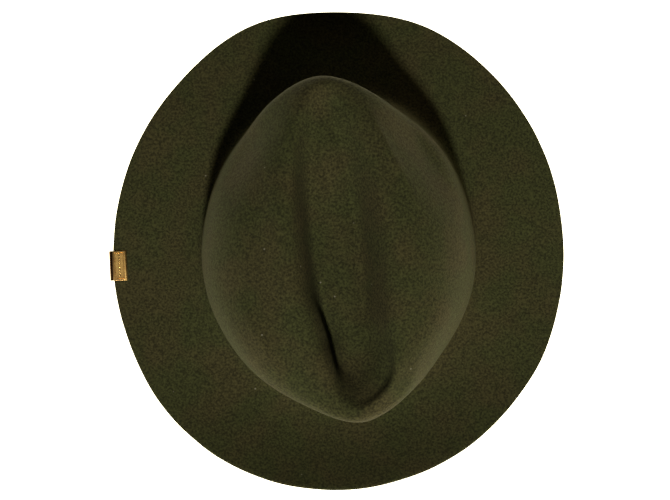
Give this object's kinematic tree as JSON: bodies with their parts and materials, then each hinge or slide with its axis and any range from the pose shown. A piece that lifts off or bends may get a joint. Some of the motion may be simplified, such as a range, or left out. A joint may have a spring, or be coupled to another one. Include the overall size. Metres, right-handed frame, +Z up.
{
  "type": "felt hat",
  "caption": "Soft felt hat with a centre-dented, pinched crown and a snap brim, open below for the head, with a small brass clip folded over the brim's edge.",
  "frame": {"origin": "centre of the hat's plan box, on the floor that the brim rests on", "axes": "+Z up out of the crown, +Y towards the front of the hat, +X towards the wearer's right"},
  "size_m": [0.306, 0.3214, 0.1089],
  "materials": {
    "felt": "matt olive-brown fur felt with a short soft nap",
    "clip": "brushed aged brass, unmarked"
  },
  "bodies": {
    "root": {"felt_body": "felt", "brim_clip": "clip"}
  },
  "joints": []
}
